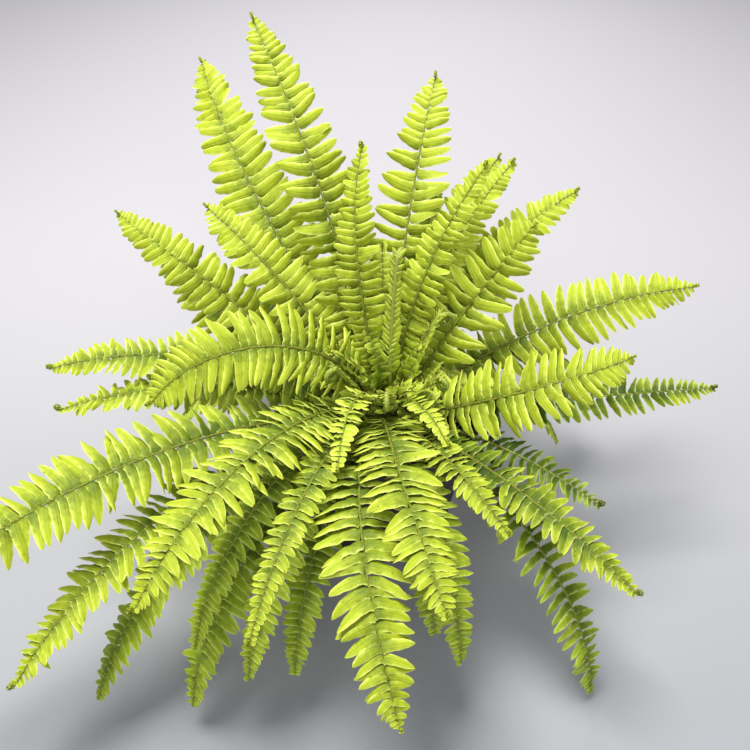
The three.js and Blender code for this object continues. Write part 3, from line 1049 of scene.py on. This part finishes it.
def lathe(profile, segments):
    # a closed body of revolution whose profile starts and ends on the axis
    inner = profile[1:-1]
    turn = np.arange(segments) * 2 * math.pi / segments
    radius, height = np.array(inner).T
    heights = np.repeat(height[:, None], segments, 1)
    rings = np.stack([radius[:, None] * np.cos(turn), radius[:, None] * np.sin(turn), heights], axis=-1)
    points = np.concatenate([rings.reshape(-1, 3), [(0, 0, profile[0][1]), (0, 0, profile[-1][1])]])
    j = np.arange(segments)
    following = (j + 1) % segments
    k = np.arange(len(inner) - 1)[:, None] * segments
    quads = np.stack([k + j, k + following, k + segments + following, k + segments + j], axis=-1)
    end = (len(inner) - 1) * segments
    first, last = len(inner) * segments, len(inner) * segments + 1
    caps = np.concatenate([
        np.stack([np.full(segments, first), following, j], axis=-1),
        np.stack([np.full(segments, last), end + j, end + following], axis=-1),
    ])
    return points, [quads.reshape(-1, 4), caps]


def addShoot(shape, dice):
    # a young leaf that climbs from the crown and rolls over outwards
    distance, turn = math.sqrt(dice.uniform(0.0, 0.95)), dice.uniform(0, 2 * math.pi)
    root = domePoints(np.array(distance), np.array(turn))
    heading = turn + dice.normal(0, 0.7)
    lean = np.array([math.cos(heading), math.sin(heading), 0])
    aim = unit(np.array([0, 0, 1]) + lean * dice.uniform(-0.1, 0.9) * distance)
    lean = unit(lean - lean.dot(aim) * aim)
    length = dice.uniform(*crown["shootLengths"])
    shares = np.linspace(0, 1, crown["shootSteps"])
    turns = (dice.uniform(*crown["shootRoll"]) * shares**1.5)[:, None]
    headings = np.cos(turns) * aim + np.sin(turns) * lean
    middles = root - aim * 1.5 * mm + np.cumsum(headings, axis=0) * length / len(shares)
    curve = {"middle": middles, "up": np.sin(turns) * aim - np.cos(turns) * lean}
    radii = np.linspace(1, 0.4, len(shares)) * crown["shootStalk"]
    points, faces = tube(middles, curve["up"], radii, 6)
    shape.add(points, faces, 3, along=0.6)
    look = frondHabits["young"]
    leafSize = dice.uniform(*crown["shootLeaflets"])
    tone = dice.uniform(0.3, 1.1)
    count = int(length / (0.30 * leafSize + frond["extraSpacing"]))
    for hand in (1, -1):
        places = np.linspace(0.12, 0.97, count) + (0.02 if hand < 0 else 0)
        outline = 0.55 + 0.45 * np.sin(places * 2.6 + 0.5)  # longest below its middle
        size = leafSize * outline * dice.uniform(0.85, 1.15, count)
        radius = np.full(count, crown["shootStalk"])
        addRow(shape, curve, hand, places, size, radius, look, tone, dice)


def addDome(shape):
    profile = [(0, crownFoot[2])]
    radius, height = crownRadius - crown["inset"], crownHeight - crown["inset"]
    for lean in np.linspace(0, math.pi / 2, crown["rings"])[:-1]:
        profile.append((radius * math.cos(lean), crownFoot[2] + height * math.sin(lean)))
    profile.append((0, crownFoot[2] + height))
    points, faces = lathe(profile, crown["segments"])
    outward = unit(points - crownFoot)
    lumps = wobble(points, 260, 3) * crown["lump"]
    lumps[points[:, 2] < crownFoot[2] + 0.1 * mm] = 0
    shape.add(points + outward * lumps[:, None], faces, 1)


def addDomeScales(shape, dice):
    count = crown["scales"]
    distance = np.sqrt(dice.uniform(0, 0.98, count))
    roots = domePoints(distance, dice.uniform(0, 2 * math.pi, count))
    normals = domeNormals(roots)
    aims = unit(normals + dice.normal(0, 0.55, roots.shape))
    faceUps = unit(np.cross(aims, dice.normal(0, 1, roots.shape)))
    lengths = dice.uniform(*crown["scaleLengths"], count)
    widths = dice.uniform(*crown["scaleWidths"], count)
    points, faces = flakes(roots - normals * 0.8 * mm, aims, faceUps, lengths, widths)
    points[..., 2] = np.maximum(points[..., 2], crownFoot[2])
    shape.add(points, faces, 2)


def addStub(shape, dice):
    distance, turn = math.sqrt(dice.uniform(0.02, 0.9)), dice.uniform(0, 2 * math.pi)
    root = domePoints(np.array(distance), np.array(turn))
    normal = domeNormals(root)
    aim = unit(normal + dice.normal(0, 0.3, 3))
    length = dice.uniform(*crown["stubLengths"])
    radii = np.array([1.7, 1.4, 1.2, 1.1, 0.8]) * mm * dice.uniform(0.7, 1.1)
    shares = np.linspace(0, 1, len(radii))[:, None]
    middles = root - normal * 1.5 * mm + aim * length * shares
    ups = np.repeat(unit(np.cross(aim, [0.3, 0.9, 0.1]))[None], len(radii), 0)
    points, faces = tube(middles, ups, radii, 8)
    shape.add(points, faces, 1)


def buildCrown():
    dice = np.random.RandomState(3000)
    shape = Shape(leafNotes)
    addDome(shape)
    addDomeScales(shape, dice)
    for _ in range(crown["stubs"]):
        addStub(shape, dice)
    for _ in range(crown["shoots"]):
        addShoot(shape, dice)
    materials = [leafMaterials["young_frond_leaf"], crownMaterial(), scalePaint, stalkPaint]
    made = shape.piece("rootstock", materials, "margin")
    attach(made, "root")
    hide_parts("crown")


buildCrown()
print("crown is built, with its shoots")


soil = {
    "segments": 144,
    "topRings": 34,
    "wallRings": 8,
    "clods": 1.0 * mm,  # how uneven its top is
    "lumps": (  # material, how many, and their smallest and largest size in millimetres
        (0, 1500, 0.35, 1.5),  # crumbs
        (1, 90, 0.7, 1.7),  # perlite
        (2, 70, 1.2, 2.6),  # bark
    ),
    "dark": (0.012, 0.008, 0.005),
    "light": (0.075, 0.048, 0.028),
    "damp": (0.022, 0.014, 0.009),
    "perliteDark": (0.42, 0.39, 0.34),
    "perliteLight": (0.80, 0.78, 0.72),
    "barkDark": (0.05, 0.022, 0.010),
    "barkLight": (0.20, 0.10, 0.045),
}


def soilMaterial():
    paint = Paint("potting_soil")
    crumbs = paint.noise(900.0, 5.0, 0.7)
    damp = paint.noise(60.0, 2.0)
    colour = paint.mix(crumbs, tint(soil["dark"]), tint(soil["light"]))
    colour = paint.mix(paint.span(damp, 0.45, 0.65) * 0.5, colour, tint(soil["damp"]))
    inputs = {
        "Base Color": colour,
        "Roughness": 0.9 - damp * 0.15,
        "Normal": paint.bump(crumbs, 0.9, 0.001),
    }
    return paint.finish(inputs)


def perliteMaterial():
    paint = Paint("perlite")
    pits = paint.cells(1600.0)
    inputs = {
        "Base Color": paint.mix(pits, tint(soil["perliteDark"]), tint(soil["perliteLight"])),
        "Roughness": 0.8 + pits * 0.1,
        "Normal": paint.bump(pits, 0.6, 0.0004),
    }
    return paint.finish(inputs)


def barkMaterial():
    paint = Paint("bark_chip")
    grain = paint.noise(800.0, 4.0, 0.7)
    inputs = {
        "Base Color": paint.mix(grain, tint(soil["barkDark"]), tint(soil["barkLight"])),
        "Roughness": 0.8 + grain * 0.1,
        "Normal": paint.bump(grain, 0.8, 0.0006),
    }
    return paint.finish(inputs)


def buildSoil():
    dice = np.random.RandomState(4000)
    corners, _ = weldedShape("soil")
    radii = np.linalg.norm(corners[:, :2], axis=1)
    low, high = corners[:, 2].min(), corners[:, 2].max()
    footRadius = radii[corners[:, 2] < low + 0.1 * mm].max()
    edgeRadius = radii.max()
    edgeHeight = corners[radii > edgeRadius - 0.1 * mm][:, 2].max()
    inset = soil["clods"]
    profile = [(0, low), (footRadius, low)]
    for share in np.linspace(0, 1, soil["wallRings"])[1:]:
        radius = footRadius + (edgeRadius - footRadius) * share
        profile.append((radius, low + (edgeHeight - inset - low) * share))

    def topHeight(radius):
        climb = np.minimum(1, (edgeRadius - radius) / (edgeRadius - crownRadius))
        return edgeHeight - inset + (high - edgeHeight) * climb

    for share in np.linspace(1, 0, soil["topRings"])[1:-1]:
        profile.append((edgeRadius * share, topHeight(edgeRadius * share)))
    profile.append((0, topHeight(0)))
    points, faces = lathe(profile, soil["segments"])
    distance = np.linalg.norm(points[:, :2], axis=1)
    onTop = (points[:, 2] > edgeHeight - 2 * inset) & (distance < edgeRadius - 0.5 * mm)
    clods = wobble(points, 170, 7) * 0.6 + wobble(points, 520, 11) * 0.4
    points[:, 2] += np.where(onTop, clods * soil["clods"], 0)
    shape = Shape()
    shape.add(points, faces, 0)

    nearest, furthest = crownRadius * 0.92, edgeRadius - 2.5 * mm
    for kind, count, small, large in soil["lumps"]:
        distance = np.sqrt(dice.uniform(nearest**2, furthest**2, count))
        turn = dice.uniform(0, 2 * math.pi, count)
        sizes = dice.uniform(small, large, count) * mm
        heights = topHeight(distance) + sizes * 0.35
        middles = np.stack([distance * np.cos(turn), distance * np.sin(turn), heights], axis=-1)
        points, faces = grains(middles, sizes, dice)
        shape.add(points, faces, kind)
    made = shape.piece("soil_surface", [soilMaterial(), perliteMaterial(), barkMaterial()])
    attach(made, "root")
    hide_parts("soil")


buildSoil()
print("soil is laid")


pot = {
    "segments": 160,
    "holes": 8,
    "holeRadius": 4.5 * mm,
    "holeCircle": 30 * mm,
    "holeSides": 32,
    "grooves": 3,  # fine lines pressed round the wall
    "grooveDepth": 0.25 * mm,
    "grooveWidth": 0.9 * mm,
    "wallSteps": 60,
    "edgeRound": 0.7 * mm,
    "sharpAngle": 35,
    "dark": (0.018, 0.015, 0.013),
    "light": (0.032, 0.027, 0.023),
    "dust": (0.15, 0.12, 0.09),
    "scratch": (0.09, 0.08, 0.07),
}


def potMaterial():
    paint = Paint("pot_plastic")
    grain = paint.noise(1500.0, 3.0)
    clouds = paint.noise(28.0, 4.0, 0.6)
    streaks = paint.node("Mapping", None, {"Vector": paint.place(), "Scale": (1.0, 1.0, 0.12)})
    runs = paint.node("TexNoise", None, {"Vector": streaks, "Scale": 140.0, "Detail": 3.0})
    dust = paint.span(clouds + runs * 0.5, 0.62, 1.05)
    scratches = paint.span(paint.noise(380.0, 5.0, 0.8), 0.62, 0.72)
    colour = paint.mix(grain, tint(pot["dark"]), tint(pot["light"]))
    colour = paint.mix(dust * 0.45, colour, tint(pot["dust"]))
    colour = paint.mix(scratches * 0.25, colour, tint(pot["scratch"]))
    inputs = {
        "Base Color": colour,
        "Roughness": 0.48 + dust * 0.25 + grain * 0.08,
        "Normal": paint.bump(grain + scratches * 0.4, 0.25, 0.0003),
    }
    return paint.finish(inputs)


def cut(target, cutter):
    # takes the cutter's shape away from the target
    modifier = target.modifiers.new("cut", "BOOLEAN")
    modifier.object = cutter
    modifier.solver = "EXACT"
    bpy.context.view_layer.update()
    shaped = bpy.data.meshes.new_from_object(target.evaluated_get(bpy.context.evaluated_depsgraph_get()))
    target.modifiers.clear()
    target.data = shaped
    bpy.data.objects.remove(cutter)


def arc(middle, radius, fromDegrees, toDegrees, steps):
    # points of an arc in a profile, as distance from the axis and height
    turns = np.radians(np.linspace(fromDegrees, toDegrees, steps))
    return [(middle[0] + radius * math.cos(turn), middle[1] + radius * math.sin(turn)) for turn in turns]


def potLevels():
    # radii and heights of the plain pot's edges, as distance from the axis and height
    corners, _ = weldedShape("pot")
    radii = np.round(np.linalg.norm(corners[:, :2], axis=1), 5)
    ground, recess, floorTop, shoulder, ledge, rim = np.unique(np.round(corners[:, 2], 5))[:6]
    at = lambda height: np.unique(radii[np.abs(corners[:, 2] - height) < 0.05 * mm])
    padRadii = at(ground)
    return {
        "pad": (padRadii[padRadii > 1 * mm][0], ground),
        "foot": (at(ground)[-1], ground),
        "ringInner": (at(recess)[-1], recess),
        "wallTop": (at(shoulder)[0], shoulder),
        "collarFoot": (at(shoulder)[-1], shoulder),
        "rimOuter": (at(rim)[-1], rim),
        "rimInner": (at(rim)[0], rim),
        "collarInner": (at(ledge)[-1], ledge),
        "insideTop": (at(ledge)[0], ledge),
        "insideFloor": (at(floorTop)[-1], floorTop),
    }


def wallProfile(start, end):
    # the outside of the wall, with fine grooves round it
    grooves = (np.arange(pot["grooves"]) + 1) / (pot["grooves"] + 1)
    points = []
    for share in np.arange(1, pot["wallSteps"]) / pot["wallSteps"]:
        nearest = np.abs(share - grooves).min() * (end[1] - start[1]) / pot["grooveWidth"]
        radius = start[0] + (end[0] - start[0]) * share - pot["grooveDepth"] * math.exp(-(nearest**2))
        points.append((radius, start[1] + (end[1] - start[1]) * share))
    return points


def potProfile():
    level = potLevels()
    ground, shoulder, rim = level["foot"][1], level["wallTop"][1], level["rimOuter"][1]
    foot, ringInner = level["foot"][0], level["ringInner"][0]
    collarFoot, rimOuter = level["collarFoot"][0], level["rimOuter"][0]
    rounding = pot["edgeRound"]
    lip = (rimOuter - level["rimInner"][0]) / 2
    profile = [(0, ground), level["pad"], (level["pad"][0], level["ringInner"][1]), level["ringInner"]]
    profile += [(ringInner, ground + rounding)]
    profile += arc((ringInner + rounding, ground + rounding), rounding, 180, 270, 4)
    profile += arc((foot - rounding, ground + rounding), rounding, 270, 360, 5)
    profile += wallProfile((foot, ground + rounding), level["wallTop"])
    profile += [level["wallTop"]]
    profile += arc((collarFoot - rounding, shoulder + rounding), rounding, 270, 350, 5)
    profile += arc((rimOuter - lip, rim - lip), lip, 5, 175, 9)
    profile += [level["collarInner"], level["insideTop"], level["insideFloor"]]
    return profile + [(0, level["insideFloor"][1])]


def drainDrills():
    drills = Shape()
    heights = np.array([-10, 0, 10, 20]) * mm
    for turn in np.arange(pot["holes"]) * 2 * math.pi / pot["holes"]:
        x, y = pot["holeCircle"] * math.cos(turn), pot["holeCircle"] * math.sin(turn)
        middles = np.array([(x, y, height) for height in heights])
        ups = np.repeat([[0.0, 1.0, 0.0]], len(heights), 0)
        radii = np.full(len(heights), pot["holeRadius"])
        points, faces = tube(middles, ups, radii, pot["holeSides"])
        drills.add(points, faces)
    return drills.piece("drills", [])


def buildPot():
    shape = Shape()
    points, faces = lathe(potProfile(), pot["segments"])
    shape.add(points, faces)
    made = shape.piece("nursery_pot", [potMaterial()])
    cut(made, drainDrills())
    made.data.set_sharp_from_angle(angle=math.radians(pot["sharpAngle"]))
    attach(made, "root")
    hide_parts("pot")


buildPot()
print("pot is turned and drilled")
